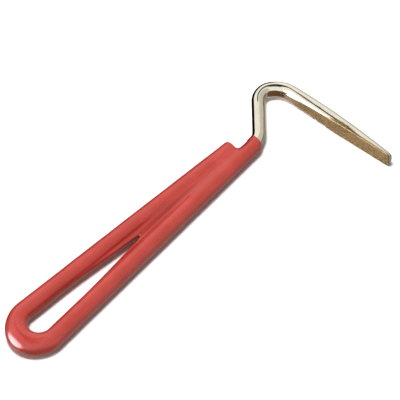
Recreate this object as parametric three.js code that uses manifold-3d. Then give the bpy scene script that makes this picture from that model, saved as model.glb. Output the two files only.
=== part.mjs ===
// Hoof pick: one steel rod bent into a loop handle, neck and hook, its far end pressed into a
// flat blade, and a dipped vinyl grip over the loop. Millimetres, +Z up. The pick lies flat:
// the bent rod's plane is level, +X runs along the handle towards the hook, and the origin is
// below the middle of its box, on the surface that it lies on.

import * as THREE from "three";
import { mergeVertices } from "three/addons/utils/BufferGeometryUtils.js";
import Module from "manifold-3d";

const wasm = await Module();
wasm.setup();

// Rod and its bends, in order from the short leg's cut end to the blade's tip.
const ROD_R = 3.0;
const SHORT_LEG = 125;
const LEG_GAP = 0.3; // clear space between the two legs at the short leg's end
const LOOP_R = 9.6; // all bend radii are to the rod's centre line
const MAIN_LEG = 133.4;
const NECK_R = 11;
const NECK_TURN = 42.5;
const SHANK = 16.1;
const CROOK_R = 6.2;
const CROOK_TURN = 80;
const SWEEP_R = 13;
const SWEEP_TURN = 48.7;
const BLADE = 55.2;
const BLADE_BOW = 5.6; // degrees that the blade still turns over its length

// Blade, pressed from the rod: it spreads across the rod's plane and keeps its outer side.
const SPREAD_AT_CROOK = 4.15; // half widths, up and down from the rod's plane
const SPREAD_AT_ROOT = 4.45;
const SPREAD_MIDDLE = 5.0;
const SPREAD_TIP = 4.6;
const TIP_CORNER_R = 1.3;
const TIP_THICKNESS = 2.4;
const FACE_AT_ROOT = 0.1; // depth of the pressed face into the rod where the blade begins
const FACE_AT_DIE = 0.75; // and where the die's flat part begins
const DIE_START = 5 / 12; // share of the blade's length, from which the face is one flat plane
const SQUARENESS = 3; // power of the section's curve: 2 is round, higher is squarer

// Tack welds that hold the short leg's end to the main leg.
const WELD_LENGTH = 9;
const WELD_SETBACK = 6;
const WELD_HALF_WIDTH = 1.7;
const WELD_TOP = 2.8; // above the rod's plane
const WELD_BOTTOM = 1.0;

// Dipped vinyl grip. It gathers at the loop's far end, which hangs lowest while it drips dry.
const COAT_R_LOOP = 4.46;
const COAT_R_LEG = 4.15;
const COAT_R_TOP = 3.8;
const DRIP_OUT = 5.9; // the coat's reach from the rod's centre line at the loop's far end
const DRIP_IN = 5.35; // its reach into the loop
const COAT_UP = 5.0; // its reach up and down, round the loop and along the open slot
const CAP_THICKNESS = 1.5; // coat over the short leg's cut end
const DIP_LINE = 136.8; // the coat ends at this level, measured from the loop's centre
const LIP_SETBACK = 1.4; // outer corner of the coat at the neck, below the dip line
const SLOT_NARROWS = 40; // the web of vinyl lines the slot from here on
const SLOT_WAIST = [62, 0.9]; // control point of the slot's curve as it narrows to its tip
const SLOT_TIP = 64.5; // the web closes the slot from here on
const WEB_HALF_AT_SLOT = 1.5;
const WEB_HALF_FULL = 3.3;
const WEB_FULL_AT = 103;
const MENISCUS_END = 131.5;
const NECK_LAP = 5; // the neck's coat overlaps the leg's coat by this much
const FIT_GAP = 0.3; // clear space between touching pieces

const SIDES = 16;
const ARC_STEP = 8; // degrees between sections round a bend
const BOX_SPAN = 400;

// The legs lean in by this much each, so that they end LEG_GAP apart.
const END_OFFSET = ROD_R + LEG_GAP / 2;
const LEG_LEAN = THREE.MathUtils.radToDeg(
  Math.atan2(LOOP_R, SHORT_LEG) - Math.asin(END_OFFSET / Math.hypot(LOOP_R, SHORT_LEG))
);

const up = new THREE.Vector3(0, 0, 1);
const direction = (degrees) => {
  const a = THREE.MathUtils.degToRad(degrees);
  return new THREE.Vector3(Math.cos(a), Math.sin(a), 0);
};
const mix = THREE.MathUtils.lerp;

// A route is a list of stations: a point, a heading in degrees and the distance along it.
const station = (point, heading, distance) => ({ point, heading, distance });

function straight(from, length, pieces = 1) {
  const ahead = direction(from.heading);
  return Array.from({ length: pieces }, (_, i) => {
    const d = (length * (i + 1)) / pieces;
    return station(from.point.clone().addScaledVector(ahead, d), from.heading, from.distance + d);
  });
}

// A left turn is positive. Its last station has the new heading.
function bend(from, radius, turn, pieces = Math.ceil(Math.abs(turn) / ARC_STEP)) {
  const side = Math.sign(turn);
  const centre = from.point.clone().addScaledVector(direction(from.heading + 90), side * radius);
  return Array.from({ length: pieces }, (_, i) => {
    const turned = (turn * (i + 1)) / pieces;
    const heading = from.heading + turned;
    const point = centre.clone().addScaledVector(direction(heading + 90), -side * radius);
    const run = radius * THREE.MathUtils.degToRad(Math.abs(turned));
    return station(point, heading, from.distance + run);
  });
}

const last = (list) => list[list.length - 1];

const legEnd = direction(90 - LEG_LEAN)
  .multiplyScalar(LOOP_R)
  .addScaledVector(direction(-LEG_LEAN), SHORT_LEG);
const start = station(legEnd, 180 - LEG_LEAN, 0);
const shortLeg = straight(start, SHORT_LEG);
const loop = bend(last(shortLeg), LOOP_R, 180 + 2 * LEG_LEAN);
const mainLeg = straight(last(loop), MAIN_LEG);
const neck = bend(last(mainLeg), NECK_R, NECK_TURN);
const shank = straight(last(neck), SHANK);
const crook = bend(last(shank), CROOK_R, -CROOK_TURN);
const sweepBend = bend(last(crook), SWEEP_R, -SWEEP_TURN);
const bladeRadius = BLADE / THREE.MathUtils.degToRad(BLADE_BOW);
const blade = bend(last(sweepBend), bladeRadius, -BLADE_BOW, 12);
const bladeTip = last(blade);

// Stations through the rounded corners of the tip, which replace the last plain one.
const tipStations = [1, 0.5, 0.2, 0].map((part) => {
  const back = part * TIP_CORNER_R;
  const point = bladeTip.point.clone().addScaledVector(direction(bladeTip.heading), -back);
  return station(point, bladeTip.heading, bladeTip.distance - back);
});
const rodRoute = [
  start, ...shortLeg, ...loop, ...mainLeg, ...neck, ...shank, ...crook, ...sweepBend,
  ...blade.slice(0, -1), ...tipStations,
];

// A regular section with flats facing up, down and sideways, one unit from its centre.
function unitSection() {
  const corner = 1 / Math.cos(Math.PI / SIDES);
  const points = Array.from({ length: SIDES }, (_, i) => {
    const a = ((2 * i + 1) * Math.PI) / SIDES;
    return new THREE.Vector2(corner * Math.cos(a), corner * Math.sin(a));
  });
  return new THREE.Shape(points);
}

// A straight bar with one section a station, bent along the route. shape(x, y, station) gives a
// section point's distance to the left of the route and above its plane.
function sweep(route, shape) {
  const bar = new THREE.ExtrudeGeometry(unitSection(), {
    depth: route.length - 1,
    steps: route.length - 1,
    bevelEnabled: false,
  });
  const position = bar.attributes.position;
  for (let i = 0; i < position.count; i++) {
    const at = route[Math.round(position.getZ(i))];
    const [left, height] = shape(position.getX(i), position.getY(i), at);
    const p = at.point.clone().addScaledVector(direction(at.heading + 90), left);
    p.addScaledVector(up, height);
    position.setXYZ(i, p.x, p.y, p.z);
  }
  return bar;
}

function toSolid(geometry) {
  const plain = geometry.index ? geometry.toNonIndexed() : geometry.clone();
  plain.deleteAttribute("normal");
  plain.deleteAttribute("uv");
  const welded = mergeVertices(plain, 1e-4);
  return new wasm.Manifold(new wasm.Mesh({
    numProp: 3,
    vertProperties: new Float32Array(welded.attributes.position.array),
    triVerts: new Uint32Array(welded.index.array),
  }));
}

function toGeometry(solid) {
  const mesh = solid.getMesh();
  const geometry = new THREE.BufferGeometry();
  geometry.setAttribute("position", new THREE.BufferAttribute(mesh.vertProperties, 3));
  geometry.setIndex(new THREE.BufferAttribute(mesh.triVerts, 1));
  const faceted = geometry.toNonIndexed();
  faceted.computeVertexNormals();
  return faceted;
}

// An outline in the rod's plane, made into a plate from one height to another.
function plate(shape, bottom, top) {
  const geometry = new THREE.ExtrudeGeometry(shape, {
    depth: top - bottom,
    bevelEnabled: false,
    curveSegments: 10,
  });
  geometry.translate(0, 0, bottom);
  return toSolid(geometry);
}

// Everything on the loop's side of a level across the handle.
function belowLevel(x) {
  const box = new THREE.BoxGeometry(BOX_SPAN, BOX_SPAN, BOX_SPAN);
  box.translate(x - BOX_SPAN / 2, 0, 0);
  return toSolid(box);
}

// ---- Rod -------------------------------------------------------------------------------------

const crookStart = last(shank).distance;
const sweepStart = last(crook).distance;
const bladeStart = last(sweepBend).distance;
const dieStart = bladeStart + DIE_START * BLADE;
const spreads = [
  [crookStart, ROD_R],
  [sweepStart, SPREAD_AT_CROOK],
  [bladeStart, SPREAD_AT_ROOT],
  [bladeStart + 0.5 * BLADE, SPREAD_MIDDLE],
  [bladeTip.distance, SPREAD_TIP],
];
const faceDepths = [
  [crookStart, 0],
  [bladeStart, FACE_AT_ROOT],
  [dieStart, FACE_AT_DIE],
  [bladeTip.distance, 2 * ROD_R - TIP_THICKNESS],
];

// Straight between knots, which are pairs of a distance and a value there.
function readKnots(knots, distance) {
  if (distance <= knots[0][0]) return knots[0][1];
  const next = Math.max(1, knots.findIndex(([d]) => d >= distance - 1e-9));
  const [d0, v0] = knots[next - 1];
  const [d1, v1] = knots[next];
  return mix(v0, v1, (distance - d0) / (d1 - d0));
}

function halfSpread(distance) {
  const corner = Math.max(0, distance - (bladeTip.distance - TIP_CORNER_R));
  const rounding = TIP_CORNER_R - Math.sqrt(Math.max(0, TIP_CORNER_R ** 2 - corner ** 2));
  return readKnots(spreads, distance) - rounding;
}

function squareness(distance) {
  return mix(2, SQUARENESS, THREE.MathUtils.smoothstep(distance, sweepStart, dieStart));
}

const curved = (v, power) => Math.sign(v) * Math.abs(v) ** (2 / power);

// The pressed face fades in round the bend. From the die's start it is one flat plane, so there
// the blade's bow is taken out of it again.
function faceOffset(distance) {
  const overDie = Math.max(0, (distance - dieStart) * (bladeTip.distance - distance));
  return readKnots(faceDepths, distance) - ROD_R - overDie / (2 * bladeRadius);
}

function rodShape(x, y, at) {
  const power = squareness(at.distance);
  const left = Math.max(ROD_R * curved(x, power), faceOffset(at.distance));
  return [left, halfSpread(at.distance) * curved(y, power)];
}

function makeRod() {
  return toGeometry(toSolid(sweep(rodRoute, rodShape)));
}

// ---- Tack welds ------------------------------------------------------------------------------

const round = (radius) => (x, y) => [radius * x, radius * y];
const legsOnly = [start, ...shortLeg, ...loop, ...mainLeg, ...neck, ...shank];

// The rod in the handle, grown all round: what the welds and the grip keep clear of.
function grownRod(gap) {
  const buttPoint = start.point.clone().addScaledVector(direction(start.heading), -gap);
  const butt = station(buttPoint, start.heading, 0);
  return toSolid(sweep([butt, ...legsOnly.slice(1)], round(ROD_R + gap)));
}

// side is 1 for the bead above the rod's plane and -1 for the one below it.
function weldBlank(side, grow) {
  const middle = (WELD_TOP + WELD_BOTTOM) / 2;
  const bead = new THREE.SphereGeometry(1, 14, 10);
  bead.scale(WELD_LENGTH / 2 + grow, WELD_HALF_WIDTH + grow, WELD_TOP - middle + grow);
  const x = start.point.x - WELD_SETBACK;
  bead.translate(x, 0, side * middle);
  return toSolid(bead);
}

function makeWeld(side) {
  return toGeometry(weldBlank(side, 0).subtract(grownRod(FIT_GAP)));
}

// ---- Vinyl grip ------------------------------------------------------------------------------

// The coat's radius at a level along the handle, thicker at the loop and thin at the neck.
function coatRadius(x) {
  if (x <= SLOT_TIP) return mix(COAT_R_LOOP, COAT_R_LEG, Math.max(0, x / SLOT_TIP));
  return mix(COAT_R_LEG, COAT_R_TOP, Math.min(1, (x - SLOT_TIP) / (DIP_LINE - SLOT_TIP)));
}

// The coat is a little higher than it is wide beside the slot, and round again at the neck.
function coatHeight(x) {
  return mix(COAT_UP, COAT_R_TOP, THREE.MathUtils.clamp((x - SLOT_TIP) / (DIP_LINE - SLOT_TIP), 0, 1));
}

// The loop turns left, so a section's left half is the side that faces into the loop.
function coatShape(x, y, at) {
  const full = coatRadius(at.point.x);
  const radius = at.radius ?? full;
  const far = Math.max(0, -at.point.x / LOOP_R);
  const inward = mix(radius, DRIP_IN, Math.sqrt(far));
  const outward = mix(radius, DRIP_OUT, far ** 3);
  return [(x > 0 ? inward : outward) * x, (coatHeight(at.point.x) * radius * y) / full];
}

// Points where the coat's radius changes its slope, measured along a leg from the loop.
const legBreaks = [SLOT_TIP, WEB_FULL_AT];

function coatRoute() {
  const capRadius = coatRadius(start.point.x);
  const cap = [1, 0.85, 0.5, 0].map((part) => {
    const beyond = part * CAP_THICKNESS;
    const point = start.point.clone().addScaledVector(direction(start.heading), -beyond);
    const radius = capRadius - CAP_THICKNESS * (1 - Math.sqrt(1 - part ** 2));
    return { ...station(point, start.heading, -beyond), radius };
  });
  const down = [...legBreaks].reverse().map((d) => straight(start, SHORT_LEG - d)[0]);
  const out = legBreaks.map((d) => straight(last(loop), d)[0]);
  return [...cap, ...down, ...shortLeg, ...loop, ...out, ...mainLeg];
}

// The main leg's coat runs straight on to a blunt corner, while the rod inside turns away.
function neckCoat() {
  const from = straight(last(loop), MAIN_LEG - NECK_LAP)[0];
  const run = (DIP_LINE - LIP_SETBACK - from.point.x) / Math.cos(THREE.MathUtils.degToRad(LEG_LEAN));
  const ahead = sweep([from, ...straight(from, run)], coatShape);
  const turningRoute = [from, last(mainLeg), ...neck, ...straight(last(neck), SHANK / 2)];
  const turning = sweep(turningRoute, round(COAT_R_TOP));
  return toSolid(ahead).add(toSolid(turning)).intersect(belowLevel(DIP_LINE));
}

// The web fills the narrow end of the slot and the corner beyond the short leg's end. Its
// outline lies inside the legs' coats, apart from a hollow round edge at each end.
function web() {
  const lean = THREE.MathUtils.degToRad(LEG_LEAN);
  const legY = (x) => LOOP_R / Math.cos(lean) - Math.tan(lean) * x;
  const edge = SLOT_NARROWS;
  const slotHalf = legY(edge) - coatRadius(edge) + FIT_GAP;
  const capEnd = start.point.x + CAP_THICKNESS - FIT_GAP;
  const outline = new THREE.Shape();
  outline.moveTo(edge, legY(edge) - ROD_R);
  outline.lineTo(edge, slotHalf);
  outline.quadraticCurveTo(SLOT_WAIST[0], SLOT_WAIST[1], SLOT_TIP, 0);
  outline.quadraticCurveTo(SLOT_WAIST[0], -SLOT_WAIST[1], edge, -slotHalf);
  outline.lineTo(edge, ROD_R - legY(edge));
  outline.lineTo(MENISCUS_END, -legY(MENISCUS_END));
  outline.lineTo(MENISCUS_END, ROD_R - legY(MENISCUS_END));
  outline.quadraticCurveTo(capEnd + FIT_GAP, ROD_R - legY(capEnd) + FIT_GAP, capEnd, legY(capEnd));
  outline.lineTo(capEnd - ROD_R, legY(capEnd));

  // Seen from the side it is a wedge, thin at the slot and full by the short leg's end.
  const profile = [
    [edge - COAT_R_LEG, WEB_HALF_AT_SLOT],
    [SLOT_TIP, WEB_HALF_AT_SLOT],
    [WEB_FULL_AT, WEB_HALF_FULL],
    [DIP_LINE, WEB_HALF_FULL],
  ];
  const above = profile.map(([x, half]) => new THREE.Vector2(x, half));
  const below = profile.map(([x, half]) => new THREE.Vector2(x, -half)).reverse();
  const wedge = new THREE.ExtrudeGeometry(new THREE.Shape([...below, ...above]), {
    depth: 4 * LOOP_R,
    bevelEnabled: false,
  });
  wedge.translate(0, 0, -2 * LOOP_R);
  wedge.rotateX(Math.PI / 2);
  return plate(outline, -COAT_UP, COAT_UP).intersect(toSolid(wedge));
}

function makeGrip() {
  const outside = toSolid(sweep(coatRoute(), coatShape)).add(neckCoat()).add(web());
  const inside = grownRod(FIT_GAP).add(weldBlank(1, FIT_GAP)).add(weldBlank(-1, FIT_GAP));
  return toGeometry(outside.subtract(inside));
}

// ---- Assembly --------------------------------------------------------------------------------

const nickel = () => new THREE.MeshStandardMaterial({ color: 0xd9d2c4, roughness: 0.18, metalness: 1 });
const weldSteel = () => new THREE.MeshStandardMaterial({ color: 0x8a8278, roughness: 0.45, metalness: 1 });
const redVinyl = () => new THREE.MeshStandardMaterial({ color: 0xcc4a45, roughness: 0.35, metalness: 0 });

const pick = new THREE.Group();
function addPiece(name, geometry, material) {
  const mesh = new THREE.Mesh(geometry, material);
  mesh.name = name;
  pick.add(mesh);
}

addPiece("pick_rod", makeRod(), nickel());
addPiece("weld_bead_top", makeWeld(1), weldSteel());
addPiece("weld_bead_bottom", makeWeld(-1), weldSteel());
addPiece("vinyl_grip", makeGrip(), redVinyl());

const box = new THREE.Box3().setFromObject(pick);
const middle = box.getCenter(new THREE.Vector3());
pick.position.set(-middle.x, -middle.y, -box.min.z);

export default pick;
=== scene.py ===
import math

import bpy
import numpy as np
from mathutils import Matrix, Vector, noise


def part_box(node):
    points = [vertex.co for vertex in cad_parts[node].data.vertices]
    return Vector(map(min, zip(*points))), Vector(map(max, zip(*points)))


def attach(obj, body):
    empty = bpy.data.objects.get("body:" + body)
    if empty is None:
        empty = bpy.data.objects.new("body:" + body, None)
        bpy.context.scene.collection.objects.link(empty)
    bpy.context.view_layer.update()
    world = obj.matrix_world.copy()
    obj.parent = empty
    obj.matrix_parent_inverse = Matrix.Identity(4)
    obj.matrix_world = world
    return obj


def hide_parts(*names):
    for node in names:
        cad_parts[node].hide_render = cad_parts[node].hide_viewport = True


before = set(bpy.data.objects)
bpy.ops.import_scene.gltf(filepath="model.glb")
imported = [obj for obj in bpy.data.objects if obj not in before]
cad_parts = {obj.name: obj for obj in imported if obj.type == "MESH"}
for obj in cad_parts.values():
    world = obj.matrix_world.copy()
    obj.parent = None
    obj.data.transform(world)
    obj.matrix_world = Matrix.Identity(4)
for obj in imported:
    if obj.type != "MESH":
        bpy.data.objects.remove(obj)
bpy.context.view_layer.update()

# Hoof pick. A bent, nickel-plated steel rod with a pressed blade, two tack welds between the
# handle's legs, and a dipped vinyl grip. Each CAD node is replaced by a fine mesh of the same
# size. Sizes are in millimetres and in the loop's own frame: the loop's arc centre is the
# origin, +X runs along the handle towards the hook and +Z is up, out of the rod's plane.

MM = 0.001

# ---- Driving dimensions ----------------------------------------------------------------------

# The rod, in order from the short leg's cut end to the blade's tip. Turns are in degrees.
ROD_R = 3.0
SHORT_LEG = 125.0
LEG_GAP = 0.3
LOOP_R = 9.6
MAIN_LEG = 133.4
NECK_R = 11.0
NECK_TURN = 42.5
SHANK = 16.1
CROOK_R = 6.2
CROOK_TURN = 80.0
SWEEP_R = 13.0
SWEEP_TURN = 48.7
BLADE = 55.2
BLADE_BOW = 5.6

# The blade's half widths and pressed face.
SPREAD_AT_CROOK = 4.15
SPREAD_AT_ROOT = 4.45
SPREAD_MIDDLE = 5.0
SPREAD_TIP = 4.6
TIP_CORNER_R = 1.3
TIP_THICKNESS = 2.4
FACE_AT_ROOT = 0.1
FACE_AT_DIE = 0.75
DIE_START = 5 / 12  # share of the blade's length from which the face is one flat plane
SQUARENESS = 3.0  # power of the section's curve: 2 is round, higher is squarer
FACE_EDGE_R = 0.3
TIP_EDGE_R = 0.3
PRESS_MARK = 0.54  # share of the blade's length where the die's edge left a small burr
PRESS_MARK_RISE = 0.28
SPILL = 0.5  # how far the die's scale and the painted brown reflection reach over the crease
SPILL_AT_MARK = 1.3
SPILL_LENGTH = 6.0

# The vinyl coat.
COAT_R_LOOP = 4.46
COAT_R_LEG = 4.15
COAT_R_TOP = 3.85
COAT_R_NECK = 3.36
DRIP_OUT = 5.9  # it gathers at the loop's far end, which hangs lowest while it drips dry
DRIP_IN = 5.35
COAT_UP = 5.0  # its reach up and down, round the loop and along the open slot
CAP_THICKNESS = 1.5
CAP_ROUNDING = 1.9
DIP_LINE = 136.8
LIP_SETBACK = 1.4
SLOT_TIP = 64.5
SLOT_OPENING = (0.40, 0.0016)  # how the slot's half width grows from its pointed tip
WEB_HALF_AT_SLOT = 1.5
WEB_HALF_FULL = 3.45
WEB_FULL_AT = 103.0
SHADED_HOLLOW_START = 45.0  # the painted shade in the hollow between the legs: its start, half width and top
SHADED_HOLLOW_HALF_WIDTH = 3.0
SHADED_HOLLOW_TOP = 4.0
BORE_R = 2.72  # the vinyl is bonded to the steel, so its inner skin lies just inside the rod's

# The tack welds.
WELD_LENGTH = 9.0
WELD_SETBACK = 6.0
WELD_HALF_WIDTH = 1.7
WELD_TOP = 2.8
WELD_BOTTOM = 1.0

grip_low, grip_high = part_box("vinyl_grip")
LOOP_CENTRE = np.array([
    grip_low.x + (LOOP_R + DRIP_OUT) * MM,
    (grip_low.y + grip_high.y) / 2,
    (grip_low.z + grip_high.z) / 2,
])

END_OFFSET = ROD_R + LEG_GAP / 2
LEAN = math.atan2(LOOP_R, SHORT_LEG) - math.asin(END_OFFSET / math.hypot(LOOP_R, SHORT_LEG))


def to_frame(points):
    """Points of the loop's frame, in millimetres, as row-frame metres."""
    return LOOP_CENTRE + np.asarray(points, float) * MM


def smoothstep(value, low, high):
    t = np.clip((value - low) / (high - low), 0.0, 1.0)
    return t * t * (3.0 - 2.0 * t)


def heading_vector(angle):
    return np.stack([np.cos(angle), np.sin(angle)], axis=-1)


# ---- The rod's route -------------------------------------------------------------------------


class Route:
    """A flat path of straight runs and round bends, looked up by the distance along it."""

    def __init__(self, start, heading, runs):
        self.runs = []
        point, distance = np.array(start, float), 0.0
        for length, turn in runs:
            self.runs.append((distance, length, turn, point, heading))
            point = self.within(point, heading, length, turn, np.array(length))[0]
            heading += turn
            distance += length
        self.length = distance

    @staticmethod
    def within(point, heading, length, turn, along):
        if turn == 0:
            angle = np.full(np.shape(along), heading)
            return point + heading_vector(angle) * np.asarray(along)[..., None], angle
        radius = length / turn
        angle = heading + along / radius
        ahead = np.sin(angle) - math.sin(heading)
        aside = math.cos(heading) - np.cos(angle)
        return point + radius * np.stack([ahead, aside], axis=-1), angle

    def at(self, distances):
        distances = np.asarray(distances, float)
        points, angles = np.zeros((len(distances), 2)), np.zeros(len(distances))
        for begin, length, turn, point, heading in self.runs:
            here = distances >= begin
            along = distances[here] - begin
            points[here], angles[here] = self.within(point, heading, length, turn, along)
        return points, angles

    def mark(self, index):
        """The distance at which a run begins."""
        return self.runs[index][0]


def arc(radius, turn):
    return (radius * math.radians(abs(turn)), math.radians(turn))


short_leg_end = (
    LOOP_R * heading_vector(math.pi / 2 - LEAN) + SHORT_LEG * heading_vector(-LEAN)
)
RUN_SHORT, RUN_LOOP, RUN_MAIN, RUN_NECK, RUN_SHANK, RUN_CROOK, RUN_SWEEP, RUN_BLADE = range(8)
rod_route = Route(short_leg_end, math.pi - LEAN, [
    (SHORT_LEG, 0.0),
    (LOOP_R * (math.pi + 2 * LEAN), math.pi + 2 * LEAN),
    (MAIN_LEG, 0.0),
    arc(NECK_R, NECK_TURN),
    (SHANK, 0.0),
    arc(CROOK_R, -CROOK_TURN),
    arc(SWEEP_R, -SWEEP_TURN),
    (BLADE, -math.radians(BLADE_BOW)),
])
crook_start = rod_route.mark(RUN_CROOK)
sweep_start = rod_route.mark(RUN_SWEEP)
blade_start = rod_route.mark(RUN_BLADE)
tip = rod_route.length


# ---- Meshes ----------------------------------------------------------------------------------


def new_object(name, points, faces, smooth=True):
    mesh = bpy.data.meshes.new(name)
    mesh.from_pydata([tuple(p) for p in points], [], [tuple(int(i) for i in f) for f in faces])
    mesh.polygons.foreach_set("use_smooth", [smooth] * len(mesh.polygons))
    mesh.validate()
    mesh.update()
    piece = bpy.data.objects.new(name, mesh)
    bpy.context.scene.collection.objects.link(piece)
    return piece


def add_attribute(piece, name, kind, values):
    attribute = piece.data.attributes.new(name, kind, "POINT")
    field = "vector" if kind == "FLOAT_VECTOR" else "value"
    attribute.data.foreach_set(field, np.asarray(values, np.float32).ravel())


def surface_net(field, xs, ys, zs):
    """A closed quad mesh round the space where field is negative, on a grid with any spacing."""
    grid = np.meshgrid(xs, ys, zs, indexing="ij")
    values = field(*grid)
    inside = values < 0
    cells = tuple(n - 1 for n in values.shape)
    total = np.zeros(cells + (3,))
    count = np.zeros(cells)
    crossings = []
    for axis in range(3):
        first = tuple(slice(None, -1) if a == axis else slice(None) for a in range(3))
        second = tuple(slice(1, None) if a == axis else slice(None) for a in range(3))
        crossed = np.argwhere(inside[first] != inside[second])
        index = tuple(crossed.T)
        v0, v1 = values[first][index], values[second][index]
        share = v0 / (v0 - v1)
        places = np.stack([g[first][index] for g in grid], axis=-1)
        places[:, axis] += share * (grid[axis][second][index] - places[:, axis])
        others = [a for a in range(3) if a != axis]
        for step_a in (0, 1):
            for step_b in (0, 1):
                cell = crossed.copy()
                cell[:, others[0]] -= step_a
                cell[:, others[1]] -= step_b
                np.add.at(total, tuple(cell.T), places)
                np.add.at(count, tuple(cell.T), 1)
        crossings.append((axis, others, crossed, inside[first][index]))
    used = count > 0
    number = np.full(cells, -1)
    number[used] = np.arange(used.sum())
    points = total[used] / count[used][:, None]
    faces = []
    for axis, others, crossed, leaving in crossings:
        corners = []
        for step_a, step_b in ((0, 0), (1, 0), (1, 1), (0, 1)):
            cell = crossed.copy()
            cell[:, others[0]] -= step_a
            cell[:, others[1]] -= step_b
            corners.append(number[tuple(cell.T)])
        quad = np.stack(corners, axis=-1)
        turned = leaving if axis != 1 else ~leaving
        quad[~turned] = quad[~turned][:, ::-1]
        faces.append(quad)
    return points, np.concatenate(faces)


def settle(field, points, rounds=4, reach=0.15):
    """Moves the points onto the surface where field is zero."""
    step = 0.01
    for _ in range(rounds):
        x, y, z = points.T
        value = field(x, y, z)
        slope = np.stack([
            field(x + step, y, z) - field(x - step, y, z),
            field(x, y + step, z) - field(x, y - step, z),
            field(x, y, z + step) - field(x, y, z - step),
        ], axis=-1) / (2 * step)
        size = np.maximum((slope ** 2).sum(axis=-1), 0.05)
        move = slope * (value / size)[:, None]
        length = np.linalg.norm(move, axis=-1, keepdims=True)
        points = points - move * np.minimum(1.0, reach / np.maximum(length, 1e-9))
    return points


# ---- Rod -------------------------------------------------------------------------------------

BACK_STEPS = 56
FLAT_STEPS = 18
EDGE_STEPS = 4
ROUND_LIMIT = math.radians(165)  # the flat's share of the section where the rod is round


def eased(distance, knots, width):
    """A value read from straight slopes between knots, with the corners smoothed over width."""
    places, values = zip(*knots)
    offsets = np.linspace(-0.5, 0.5, 9) * width
    return float(np.mean(np.interp(distance + offsets, places, values)))


def half_spread(distance):
    knots = [
        (crook_start, ROD_R),
        (sweep_start, SPREAD_AT_CROOK),
        (blade_start, SPREAD_AT_ROOT),
        (blade_start + BLADE / 2, SPREAD_MIDDLE),
        (tip, SPREAD_TIP),
    ]
    corner = max(0.0, distance - (tip - TIP_CORNER_R))
    rounding = TIP_CORNER_R - math.sqrt(max(0.0, TIP_CORNER_R ** 2 - corner ** 2))
    return eased(distance, knots, 6.0) - rounding


def squareness(distance):
    die_start = blade_start + DIE_START * BLADE
    return 2.0 + (SQUARENESS - 2.0) * float(smoothstep(distance, sweep_start, die_start))


def face_offset(distance):
    """Where the pressed face is. The die's part of it is flat, so the blade's bow is taken out."""
    die_start = blade_start + DIE_START * BLADE
    slope = (2 * ROD_R - TIP_THICKNESS - FACE_AT_DIE) / (tip - die_start)
    knots = [
        (crook_start, 0.0),
        (blade_start, FACE_AT_ROOT),
        (die_start, FACE_AT_DIE),
        (tip + 5.0, FACE_AT_DIE + slope * (tip + 5.0 - die_start)),
    ]
    over_die = max(0.0, (distance - die_start) * (tip - distance))
    return eased(distance, knots, 3.0) - ROD_R - over_die * math.radians(BLADE_BOW) / (2 * BLADE)


def spill_over_back(back, corner, distance):
    """How far each point of the round back is marked: the die's scale and the painted brown
    reflection of the pressed face spill over the crease.
    """
    from_mark = (distance - blade_start - PRESS_MARK * BLADE) / SPILL_LENGTH
    spill = SPILL + SPILL_AT_MARK * math.exp(-(from_mark ** 2))
    gap = np.hypot(back[:, 0] - corner[0], np.abs(back[:, 1]) - corner[1])
    return 1.0 - smoothstep(gap, spill - 0.2, spill + 0.2)


def section(distance):
    """The section's outline as (left, up) pairs, and how far each point is on the pressed face."""
    power, half, face = squareness(distance), half_spread(distance), face_offset(distance)
    share = max(-1.0, min(1.0, face / ROD_R))
    crease = math.acos(math.copysign(abs(share) ** (power / 2), share))
    end = min(crease, ROUND_LIMIT)

    def curve(angle):
        c, s = np.cos(angle), np.sin(angle)
        left = ROD_R * np.sign(c) * np.abs(c) ** (2 / power)
        return np.stack([left, half * np.sign(s) * np.abs(s) ** (2 / power)], axis=-1)

    corner = curve(end)
    fillet = min(FACE_EDGE_R, 0.3 * corner[1])
    slack = fillet / max(ROD_R, half)
    back = curve(np.linspace(slack - end, end - slack, BACK_STEPS + 1))
    heights = np.linspace(corner[1] - fillet, fillet - corner[1], FLAT_STEPS + 1)
    round_side = -ROD_R * np.maximum(0.0, 1 - (np.abs(heights) / half) ** power) ** (1 / power)
    flat = np.stack([np.maximum(face, round_side), heights], axis=-1)

    def turn_in(first, middle, last_point):
        t = np.linspace(0, 1, EDGE_STEPS + 1)[1:-1, None]
        return (1 - t) ** 2 * first + 2 * t * (1 - t) * middle + t ** 2 * last_point

    top = turn_in(back[-1], corner, flat[0])
    bottom = turn_in(flat[-1], corner * (1, -1), back[0])
    outline = np.concatenate([back, top, flat, bottom])
    pressed = np.concatenate([
        spill_over_back(back, corner, distance), np.ones(len(top) + len(flat) + len(bottom)),
    ])
    return outline, pressed * float(smoothstep(distance, sweep_start, blade_start + 7.0))


def inset(outline, amount):
    """The outline moved inwards by amount."""
    along = np.roll(outline, -1, axis=0) - np.roll(outline, 1, axis=0)
    inward = np.stack([-along[:, 1], along[:, 0]], axis=-1)
    return outline + amount * inward / np.linalg.norm(inward, axis=-1, keepdims=True)


def rod_stations():
    """Distances along the rod: coarse under the vinyl, fine where the steel shows."""
    bare = rod_route.mark(RUN_NECK)
    loop_start, main_start = rod_route.mark(RUN_LOOP), rod_route.mark(RUN_MAIN)
    corner = tip - TIP_CORNER_R
    rounding = corner + TIP_CORNER_R * np.sin(np.linspace(0, 0.36 * math.pi, 9)[1:])
    return np.concatenate([
        np.arange(0.0, loop_start, 2.5),
        np.arange(loop_start, main_start, 0.6),
        np.arange(main_start, bare, 2.5),
        np.arange(bare, corner - 0.2, 0.45),
        [corner],
        rounding,
    ])


def forged(point, distance, pressed):
    """How far the steel stands proud of its true shape: hammering and the die leave it uneven."""
    worked = float(smoothstep(distance, crook_start - 4.0, sweep_start))
    long_wave = noise.noise(Vector((point[0] * 0.25, point[1] * 0.25, distance * 0.09)))
    short_wave = noise.noise(Vector((point[0] * 0.5 + 7.0, point[1] * 0.5, distance * 0.35)))
    grain = noise.noise(Vector((point[0], point[1] * 1.3 + 3.0, distance * 1.1)))
    plain = 0.006 * long_wave
    return plain + worked * (0.035 * long_wave + 0.018 * short_wave) + pressed * 0.016 * grain


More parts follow.
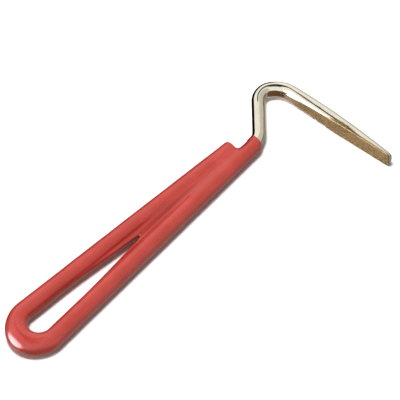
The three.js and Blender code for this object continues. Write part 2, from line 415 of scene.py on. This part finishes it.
def make_rod():
    stations = rod_stations()
    places, headings = rod_route.at(stations)
    lefts = heading_vector(headings + math.pi / 2)
    mark = blade_start + PRESS_MARK * BLADE
    rings, bars, masks = [], [], []

    def add_ring(outline, place, left, distance, pressed):
        flat = place + outline[:, :1] * left
        rings.append(np.concatenate([flat, outline[:, 1:]], axis=-1))
        bars.append(np.concatenate([outline, np.full((len(outline), 1), distance)], axis=-1))
        masks.append(pressed)

    for distance, place, left in zip(stations, places, lefts):
        outline, pressed = section(distance)
        proud = np.array([forged(p, distance, m) for p, m in zip(outline, pressed)])
        outline = inset(outline, -proud[:, None])
        near_edge = np.clip(1 - np.abs(pressed - 0.5) * 2, 0, 1) * (outline[:, 1] > 0)
        bump = PRESS_MARK_RISE * math.exp(-(((distance - mark) / 0.7) ** 2))
        outline[:, 1] = np.clip(outline[:, 1] + near_edge * bump, -SPREAD_MIDDLE, SPREAD_MIDDLE)
        add_ring(outline, place, left, distance, pressed)

    # The tip's edge is rounded over, and then the end face is closed with one flat polygon.
    ahead = heading_vector(headings[-1])
    last_outline, pressed = section(stations[-1])
    reach = tip - stations[-1]
    for share in (0.35, 0.7, 1.0):
        drop = TIP_EDGE_R * (1 - math.cos(share * math.pi / 2))
        forward = reach * math.sin(share * math.pi / 2)
        place = places[-1] + ahead * forward
        add_ring(inset(last_outline, drop), place, lefts[-1], stations[-1] + forward, pressed * 0.5)
    end_face = inset(last_outline, TIP_EDGE_R + 0.12)
    add_ring(end_face, places[-1] + ahead * reach, lefts[-1], tip, pressed * 0.5)

    size = len(rings[0])
    points = np.concatenate(rings)
    faces = []
    for ring in range(len(rings) - 1):
        for i in range(size):
            j = (i + 1) % size
            here, after = ring * size, (ring + 1) * size
            faces.append((here + i, here + j, after + j, after + i))
    faces.append(tuple(reversed(range(size))))
    faces.append(tuple((len(rings) - 1) * size + i for i in range(size)))
    rod = new_object("bent_rod", to_frame(points), faces)
    add_attribute(rod, "bar", "FLOAT_VECTOR", np.concatenate(bars))
    add_attribute(rod, "pressed", "FLOAT", np.concatenate(masks))
    return rod


# ---- Fields: the signed distance to a shape, negative inside ---------------------------------


def blend_union(a, b, radius):
    overlap = np.maximum(radius - np.abs(a - b), 0.0) / radius
    return np.minimum(a, b) - overlap ** 2 * radius / 4


def blend_cut(a, b, radius):
    """Where both a and b are negative, with a rounded edge between them."""
    return -blend_union(-a, -b, radius)


def from_segment(x, y, start, end):
    """The distance in the plane to a straight stretch."""
    run = np.subtract(end, start)
    share = ((x - start[0]) * run[0] + (y - start[1]) * run[1]) / (run @ run)
    share = np.clip(share, 0.0, 1.0)
    return np.hypot(x - start[0] - share * run[0], y - start[1] - share * run[1])


def from_arc(x, y, centre, radius, middle, half_turn):
    """The distance in the plane to a round stretch, and far away beyond its two ends."""
    dx, dy = x - centre[0], y - centre[1]
    turned = np.abs((np.arctan2(dy, dx) - middle + math.pi) % (2 * math.pi) - math.pi)
    return np.where(turned <= half_turn, np.abs(np.hypot(dx, dy) - radius), 1e3)


loop_top = LOOP_R * heading_vector(math.pi / 2 - LEAN)
loop_bottom = LOOP_R * heading_vector(LEAN - math.pi / 2)
main_end = loop_bottom + MAIN_LEG * heading_vector(LEAN)
neck_centre = main_end + NECK_R * heading_vector(LEAN + math.pi / 2)
neck_turn = math.radians(NECK_TURN)
neck_end = neck_centre + NECK_R * heading_vector(LEAN + neck_turn - math.pi / 2)
shank_end = neck_end + SHANK * heading_vector(LEAN + neck_turn)


def loop_distance(x, y):
    """The distance in the plane to the loop and its two legs."""
    bend = from_arc(x, y, (0, 0), LOOP_R, math.pi, math.pi / 2 + LEAN)
    short = from_segment(x, y, loop_top, short_leg_end)
    return np.minimum(bend, short), from_segment(x, y, loop_bottom, main_end)


def neck_distance(x, y):
    middle = LEAN + neck_turn / 2 - math.pi / 2
    bend = from_arc(x, y, neck_centre, NECK_R, middle, neck_turn / 2)
    return np.minimum(bend, from_segment(x, y, neck_end, shank_end))


def rod_field(x, y, z, radius):
    """The steel inside the handle, as a rod of the given radius."""
    short, main = loop_distance(x, y)
    return np.hypot(np.minimum(np.minimum(short, main), neck_distance(x, y)), z) - radius


def coat_radius(x, y):
    """The coat is thick at the loop, where it gathers as it drips dry, and thin at the neck."""
    radius = np.interp(x, (0.0, SLOT_TIP, DIP_LINE), (COAT_R_LOOP, COAT_R_LEG, COAT_R_TOP))
    runs = 0.022 * np.sin(0.19 * x + 0.4) + 0.016 * np.sin(0.43 * x + 0.35 * y + 2.0)
    return radius + (runs - 0.038) * smoothstep(x, -8.0, 12.0)


def loop_coat(x, y, z, radius):
    """The coat round the loop's bend, which reaches further out and in where it gathered."""
    ring = np.hypot(x, y)
    far = np.clip(-x / np.maximum(ring, 1e-6), 0.0, 1.0)
    outward = radius + (DRIP_OUT - radius) * far ** 3
    inward = radius + (DRIP_IN - radius) * np.sqrt(far)
    side = ring - LOOP_R
    reach = np.where(side > 0, outward, inward)
    level = np.hypot(side / reach, z / COAT_UP)
    return np.where(x < 0, (level - 1.0) * np.minimum(reach, COAT_UP), 1e3)


def leg_height(x):
    """How far a leg's centre line is from the handle's axis."""
    return LOOP_R / math.cos(LEAN) - math.tan(LEAN) * x


def web_field(x, y, z):
    """The vinyl that closes the narrow end of the slot, hollowed where it meets the slot."""
    rise = smoothstep(x, SLOT_TIP - 6.0, WEB_FULL_AT)
    half = WEB_HALF_AT_SLOT + (WEB_HALF_FULL - WEB_HALF_AT_SLOT) * rise
    from_tip = np.maximum(SLOT_TIP - x, 0.0)
    opening = SLOT_OPENING[0] * np.sqrt(from_tip) + SLOT_OPENING[1] * from_tip ** 2
    hollow = opening - np.hypot(y, np.maximum(x - SLOT_TIP, 0.0))
    sides = np.abs(y) - leg_height(x)
    end = x - (short_leg_end[0] + 0.4)
    plan = np.maximum(np.maximum(hollow, sides), end)
    return blend_cut(np.abs(z) - half, plan, 1.2)


def grip_outside(x, y, z):
    radius = coat_radius(x, y)
    level = z * radius / np.interp(x, (SLOT_TIP, DIP_LINE), (COAT_UP, COAT_R_TOP))
    short, main = loop_distance(x, y)
    along = (x - short_leg_end[0]) * math.cos(LEAN) - (y - short_leg_end[1]) * math.sin(LEAN)
    short_tube = blend_cut(np.hypot(short, level) - radius, along - CAP_THICKNESS, CAP_ROUNDING)
    past_cap = from_segment(x, y, short_leg_end, short_leg_end + 4 * heading_vector(-LEAN))
    short_round = blend_cut(np.hypot(past_cap, level) - radius, along - CAP_THICKNESS, CAP_ROUNDING)
    short_tube = np.minimum(short_tube, np.maximum(short_round, short_leg_end[0] - 3.0 - x))

    ahead = main_end + 8 * heading_vector(LEAN)
    main_line = np.minimum(main, from_segment(x, y, main_end, ahead))
    inner = smoothstep(y - main_end[1], -1.0, 2.5)
    inner = inner * smoothstep(x, main_end[0] - 12.0, main_end[0] - 3.0)
    run_on = np.hypot(main_line, level) - radius + (COAT_R_TOP - COAT_R_NECK) * inner
    run_on = blend_cut(run_on, x - (DIP_LINE - LIP_SETBACK), 1.6)
    neck_tube = np.hypot(neck_distance(x, y), z) - COAT_R_NECK
    main_tube = blend_union(run_on, neck_tube, 1.2)

    bridge = smoothstep(x, WEB_FULL_AT - 30.0, WEB_FULL_AT + 12.0)
    legs = blend_union(short_tube, main_tube, 0.25 + 2.2 * bridge)
    legs = np.minimum(loop_coat(x, y, z, radius), legs)
    outside = blend_union(legs, web_field(x, y, z), 1.1)
    return blend_cut(outside, x - DIP_LINE, 0.5)


def weld_field(x, y, z, side, grow):
    """One bead, with the ripples that the torch leaves across it."""
    middle = side * (WELD_TOP + WELD_BOTTOM) / 2
    radii = (WELD_LENGTH / 2 + grow, WELD_HALF_WIDTH + grow, (WELD_TOP - WELD_BOTTOM) / 2 + grow)
    shape = np.sqrt(
        ((x - short_leg_end[0] + WELD_SETBACK) / radii[0]) ** 2
        + (y / radii[1]) ** 2
        + ((z - middle) / radii[2]) ** 2
    )
    ripple = 0.05 * np.sin(5.2 * (x + 0.35 * y * y)) if grow == 0 else 0.0
    return (shape - 1.0) * radii[2] + 0.05 + ripple


def grip_field(x, y, z):
    inside = rod_field(x, y, z, BORE_R)
    for side in (1, -1):
        inside = blend_union(inside, weld_field(x, y, z, side, 0.25), 0.8)
    return blend_cut(grip_outside(x, y, z), -inside, 0.15)


def make_grip():
    margin = 0.9
    xs = np.concatenate([
        np.arange(-LOOP_R - DRIP_OUT - margin, 8.0, 0.34),
        np.arange(8.0, 116.0, 0.7),
        np.arange(116.0, DIP_LINE + margin, 0.3),
    ])
    ys = np.arange(-LOOP_R - COAT_UP - margin, LOOP_R + COAT_UP + margin, 0.34)
    zs = np.arange(-COAT_UP - margin, COAT_UP + margin, 0.34)
    points, faces = surface_net(grip_field, xs, ys, zs)
    points = settle(grip_field, points)
    return new_object("dipped_grip", to_frame(points), faces)


def make_weld(side, name):
    def field(x, y, z):
        return np.maximum(weld_field(x, y, z, side, 0.0), -rod_field(x, y, z, ROD_R + 0.02))

    centre = short_leg_end[0] - WELD_SETBACK
    xs = np.arange(centre - WELD_LENGTH / 2 - 0.5, centre + WELD_LENGTH / 2 + 0.5, 0.13)
    ys = np.arange(-WELD_HALF_WIDTH - 0.4, WELD_HALF_WIDTH + 0.4, 0.13)
    middle = side * (WELD_TOP + WELD_BOTTOM) / 2
    zs = np.arange(middle - 1.4, middle + 1.4, 0.13)
    points, faces = surface_net(field, xs, ys, zs)
    return new_object(name, to_frame(settle(field, points, reach=0.05)), faces)


# ---- Materials -------------------------------------------------------------------------------


class Nodes:
    """Short ways to add shader nodes to one tree."""

    def __init__(self, tree):
        self.tree = tree
        tree.nodes.clear()

    def set(self, socket, value):
        if isinstance(value, bpy.types.NodeSocket):
            self.tree.links.new(value, socket)
        else:
            socket.default_value = value

    def add(self, kind, inputs=None, **settings):
        made = self.tree.nodes.new("ShaderNode" + kind)
        for key, value in settings.items():
            setattr(made, key, value)
        for key, value in (inputs or {}).items():
            self.set(made.inputs[key], value)
        return made

    def parts(self, vector):
        """The three components of a vector."""
        return list(self.add("SeparateXYZ", {"Vector": vector}).outputs)

    def math(self, operation, a, b=0.0):
        return self.add("Math", {0: a, 1: b}, operation=operation).outputs[0]

    def times(self, first, *others):
        """The product of numbers."""
        for other in others:
            first = self.math("MULTIPLY", first, other)
        return first

    def dot(self, vector, other):
        made = self.add("VectorMath", {0: vector, 1: other}, operation="DOT_PRODUCT")
        return made.outputs["Value"]

    def stretch(self, vector, factors):
        return self.add("VectorMath", {0: vector, 1: factors}, operation="MULTIPLY").outputs[0]

    def noise(self, vector, scale, detail=3.0, roughness=0.5):
        inputs = {"Vector": vector, "Scale": scale, "Detail": detail, "Roughness": roughness}
        return self.add("TexNoise", inputs).outputs["Fac"]

    def spread(self, value, low, high, to_low=0.0, to_high=1.0):
        inputs = {"Value": value, 1: low, 2: high, 3: to_low, 4: to_high}
        made = self.add("MapRange", inputs, interpolation_type="SMOOTHSTEP")
        return made.outputs[0]

    def mix(self, share, a, b):
        """Between two colours."""
        first, second = ((*c, 1) if isinstance(c, tuple) else c for c in (a, b))
        return self.add("Mix", {0: share, 6: first, 7: second}, data_type="RGBA").outputs[2]

    def blend(self, share, a, b):
        """Between two numbers."""
        return self.add("Mix", {0: share, 2: a, 3: b}, data_type="FLOAT").outputs[0]

    def bump(self, height, distance, normal=None):
        inputs = {"Height": height, "Distance": distance, "Strength": 1.0}
        if normal is not None:
            inputs["Normal"] = normal
        return self.add("Bump", inputs).outputs[0]


def new_material(name):
    material = bpy.data.materials.new(name)
    material.use_nodes = True
    return material, Nodes(material.node_tree)


def finish_material(nodes, inputs):
    shader = nodes.add("BsdfPrincipled", inputs)
    nodes.add("OutputMaterial", {"Surface": shader.outputs[0]})


def millimetres(nodes):
    """The place on the object, in millimetres."""
    place = nodes.add("TexCoord").outputs["Object"]
    return nodes.stretch(place, (1 / MM, 1 / MM, 1 / MM))


def nickel_material():
    material, n = new_material("nickel_plate")
    bar = n.add("Attribute", attribute_name="bar").outputs["Vector"]
    pressed = n.add("Attribute", attribute_name="pressed").outputs["Fac"]
    lines = n.noise(n.stretch(bar, (2.6, 2.6, 0.07)), 1.0, 4.0, 0.6)
    haze = n.noise(bar, 0.16, 3.0)
    speck = n.noise(bar, 1.5, 5.0, 0.65)
    patch = n.noise(n.stretch(bar, (0.5, 0.5, 0.22)), 1.0, 3.0)

    plate = n.mix(n.spread(haze, 0.3, 0.7), (0.90, 0.85, 0.75), (0.84, 0.80, 0.72))
    plate = n.mix(n.times(n.spread(lines, 0.5, 0.75), 0.22), plate, (0.70, 0.66, 0.58))
    # Painted reflection: the pressed face's brown is a reflection of a brown table, painted into
    # the metal's colour. The light and dark specks are the die's scale on it.
    scale_and_reflection = n.mix(n.spread(patch, 0.35, 0.65), (0.205, 0.150, 0.068), (0.215, 0.168, 0.095))
    scale_and_reflection = n.mix(n.spread(speck, 0.48, 0.60, 0.0, 0.9), scale_and_reflection, (0.40, 0.29, 0.12))
    scale_and_reflection = n.mix(n.spread(speck, 0.48, 0.38, 0.0, 0.9), scale_and_reflection, (0.085, 0.056, 0.026))

    shine = n.spread(haze, 0.35, 0.7, 0.07, 0.12)
    shine = n.math("ADD", shine, n.times(n.spread(lines, 0.5, 0.8), 0.06))
    satin = n.spread(speck, 0.3, 0.7, 0.42, 0.56)
    relief = n.bump(lines, 0.002 * MM)
    relief = n.bump(speck, n.times(pressed, 0.02 * MM), relief)
    finish_material(n, {
        "Base Color": n.mix(pressed, plate, scale_and_reflection),
        "Metallic": 1.0,
        "Roughness": n.blend(pressed, shine, satin),
        "Normal": relief,
    })
    return material


def weld_material():
    material, n = new_material("weld_steel")
    place = millimetres(n)
    scale = n.noise(place, 1.4, 5.0, 0.6)
    heat = n.noise(place, 0.5, 2.0)
    colour = n.mix(n.spread(scale, 0.35, 0.65), (0.26, 0.23, 0.21), (0.42, 0.39, 0.35))
    finish_material(n, {
        "Base Color": n.mix(n.spread(heat, 0.5, 0.75, 0.0, 0.5), colour, (0.28, 0.20, 0.16)),
        "Metallic": 1.0,
        "Roughness": n.spread(scale, 0.3, 0.7, 0.38, 0.6),
        "Normal": n.bump(scale, 0.05 * MM),
    })
    return material


def vinyl_material():
    material, n = new_material("red_vinyl")
    place = millimetres(n)
    cloud = n.noise(place, 0.09, 3.0)
    streak = n.noise(n.stretch(place, (0.045, 0.55, 0.55)), 1.0, 4.0, 0.55)
    peel = n.noise(place, 0.9, 3.0, 0.5)
    pores = n.noise(place, 3.5, 2.0, 0.5)
    scuff = n.noise(n.stretch(place, (0.35, 1.6, 1.6)), 1.0, 5.0, 0.7)

    colour = n.mix(n.spread(cloud, 0.35, 0.65), (0.39, 0.028, 0.020), (0.43, 0.038, 0.030))
    colour = n.mix(n.spread(streak, 0.42, 0.68, 0.0, 0.6), colour, (0.33, 0.040, 0.030))
    colour = n.mix(n.spread(scuff, 0.60, 0.78, 0.0, 0.35), colour, (0.47, 0.065, 0.055))
    # Painted shade: the hollow between the legs, on the web, is darkened where shade falls in it.
    along, across, height = (
        n.math("SUBTRACT", part, centre / MM) for part, centre in zip(n.parts(place), LOOP_CENTRE)
    )
    hollow = n.times(
        n.spread(n.math("ABSOLUTE", across), SHADED_HOLLOW_HALF_WIDTH, 0.6),
        n.spread(n.math("ABSOLUTE", height), SHADED_HOLLOW_TOP, 2.6),
        n.spread(along, SHADED_HOLLOW_START, SHADED_HOLLOW_START + 15.0),
    )
    colour = n.mix(n.times(hollow, 0.8), colour, (0.24, 0.016, 0.012))
    gloss = n.spread(streak, 0.3, 0.7, 0.26, 0.36)
    gloss = n.math("ADD", gloss, n.spread(scuff, 0.58, 0.78, 0.0, 0.12))
    relief = n.bump(streak, 0.05 * MM)
    relief = n.bump(peel, 0.02 * MM, relief)
    relief = n.bump(pores, 0.002 * MM, relief)
    finish_material(n, {
        "Base Color": colour,
        "Roughness": gloss,
        "IOR": 1.5,
        "Coat Weight": 0.7,
        "Coat Roughness": 0.10,
        "Subsurface Weight": 0.08,
        "Subsurface Radius": (1.0, 0.25, 0.2),
        "Subsurface Scale": 0.6 * MM,
        "Normal": relief,
    })
    return material


# ---- Pieces ----------------------------------------------------------------------------------


def place_piece(piece, node, material):
    piece.data.materials.append(material)
    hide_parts(node)
    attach(piece, "root")


steel_bead = weld_material()
place_piece(make_rod(), "pick_rod", nickel_material())
place_piece(make_weld(1, "weld_top"), "weld_bead_top", steel_bead)
place_piece(make_weld(-1, "weld_bottom"), "weld_bead_bottom", steel_bead)
place_piece(make_grip(), "vinyl_grip", vinyl_material())


# ---- Studio ----------------------------------------------------------------------------------

VIEW_AZIMUTH = math.radians(314.22)
VIEW_ELEVATION = math.radians(57.87)
VIEW_DISTANCE = 6.0
VIEW_WIDTH = 0.1778  # the width of the picture at the object, in metres
SENSOR = 36.0
VIEW_AIM = (96.9, -5.7, 0.0)  # millimetres, in the loop's frame
KEY_DISTANCE = 1.6  # metres, and watts for the power
KEY_SIZE = 0.55
KEY_POWER = 34.0

away = Vector((-math.sin(VIEW_AZIMUTH), math.cos(VIEW_AZIMUTH), 0.0))
right = Vector((math.cos(VIEW_AZIMUTH), math.sin(VIEW_AZIMUTH), 0.0))
up = Vector((0.0, 0.0, 1.0))
towards_camera = up * math.sin(VIEW_ELEVATION) - away * math.cos(VIEW_ELEVATION)


def studio_direction(to_right, to_away, to_up):
    return (right * to_right + away * to_away + up * to_up).normalized()


def make_camera():
    data = bpy.data.cameras.new("camera")
    data.sensor_width = SENSOR
    data.lens = SENSOR * VIEW_DISTANCE / VIEW_WIDTH
    data.clip_end = 100.0
    camera = bpy.data.objects.new("camera", data)
    camera.location = Vector(to_frame(VIEW_AIM)) + towards_camera * VIEW_DISTANCE
    camera.rotation_mode = "QUATERNION"
    camera.rotation_quaternion = (-towards_camera).to_track_quat("-Z", "Y")
    bpy.context.scene.collection.objects.link(camera)
    bpy.context.scene.camera = camera


def make_floor():
    half = 8.0
    corners = [(-half, -half, 0), (half, -half, 0), (half, half, 0), (-half, half, 0)]
    floor = new_object("studio_floor", corners, [(0, 1, 2, 3)], smooth=False)
    material, n = new_material("pale_floor")
    grain = n.noise(n.add("TexCoord").outputs["Object"], 40.0, 2.0)
    finish_material(n, {
        "Base Color": n.mix(grain, (0.90, 0.90, 0.90), (0.92, 0.92, 0.915)),
        "Roughness": 0.8,
        "Specular IOR Level": 0.2,
    })
    floor.data.materials.append(material)
    floor.visible_glossy = False


def make_key():
    """A soft lamp almost overhead. The room stands in for its reflection."""
    direction = studio_direction(-0.12, 0.02, 1.0)
    data = bpy.data.lights.new("key", "AREA")
    data.shape = "DISK"
    data.size = KEY_SIZE
    data.energy = KEY_POWER
    lamp = bpy.data.objects.new("key", data)
    lamp.location = Vector(to_frame(VIEW_AIM)) + direction * KEY_DISTANCE
    lamp.rotation_mode = "QUATERNION"
    lamp.rotation_quaternion = (-direction).to_track_quat("-Z", "Y")
    lamp.visible_glossy = False
    bpy.context.scene.collection.objects.link(lamp)


def make_surroundings():
    """What the room shows the object: soft white light, and in what is glossy a bright ivory
    tent over a brown table, a window on the left, a dark gap low on the left, a dark beam
    overhead, and a shaded stretch of table in front."""
    world = bpy.data.worlds.new("studio")
    world.use_nodes = True
    bpy.context.scene.world = world
    world.cycles.sampling_method = "NONE"
    n = Nodes(world.node_tree)
    ray = n.add("TexCoord").outputs["Generated"]
    height = n.dot(ray, tuple(up))

    def towards(*direction):
        return n.dot(ray, tuple(studio_direction(*direction)))

    across = n.dot(ray, tuple(right))
    table = n.mix(n.spread(across, -0.2, 0.6), (0.32, 0.22, 0.12), (0.30, 0.29, 0.26))
    table = n.mix(n.spread(towards(-0.51, -0.15, -0.85), 0.80, 0.97), table, (0.62, 0.50, 0.36))
    tent = n.mix(n.spread(height, 0.0, 0.9), (1.02, 1.0, 0.95), (0.97, 0.94, 0.87))
    tent = n.mix(n.spread(across, 0.12, 0.40), tent, (0.62, 0.59, 0.50))
    room = n.mix(n.spread(height, -0.16, -0.02), table, tent)
    low = n.spread(height, 0.28, 0.18)
    gap = n.times(n.spread(towards(-0.85, 0.5, 0), 0.45, 0.60), low)
    room = n.mix(gap, room, (0.008, 0.006, 0.006))
    beyond = n.dot(ray, tuple(away))
    beam = n.times(
        n.spread(n.math("ABSOLUTE", n.math("ADD", across, 0.12)), 0.17, 0.12),
        n.spread(beyond, 0.51, 0.47),
        n.spread(beyond, -0.50, -0.30),
        n.spread(height, 0.3, 0.5),
    )
    room = n.mix(beam, room, (0.02, 0.02, 0.018))
    shade = n.spread(towards(0.1, -0.75, -0.65), 0.70, 0.77)
    room = n.mix(shade, room, (0.13, 0.07, 0.04))
    window = n.spread(towards(-0.93, -0.36, 0.05), 0.83, 0.92)
    room = n.mix(window, room, (12.0, 11.0, 12.0))

    soft = n.spread(towards(-0.75, 0.3, 0.7), -1.0, 1.0, 0.08, 0.30)
    light_path = n.add("LightPath").outputs
    tint = n.add("Background", {"Color": room, "Strength": 1.0}).outputs[0]
    light = n.add("Background", {"Color": (1, 1, 1, 1), "Strength": soft}).outputs[0]
    plain = n.add("Background", {"Color": (0.96, 0.96, 0.96, 1), "Strength": 1.0}).outputs[0]
    seen = n.add("MixShader", {0: light_path["Is Glossy Ray"], 1: light, 2: tint}).outputs[0]
    seen = n.add("MixShader", {0: light_path["Is Camera Ray"], 1: seen, 2: plain}).outputs[0]
    n.add("OutputWorld", {"Surface": seen})


make_camera()
make_floor()
make_surroundings()
make_key()

settings = bpy.context.scene.view_settings
settings.view_transform = "Standard"
settings.exposure = 0.0
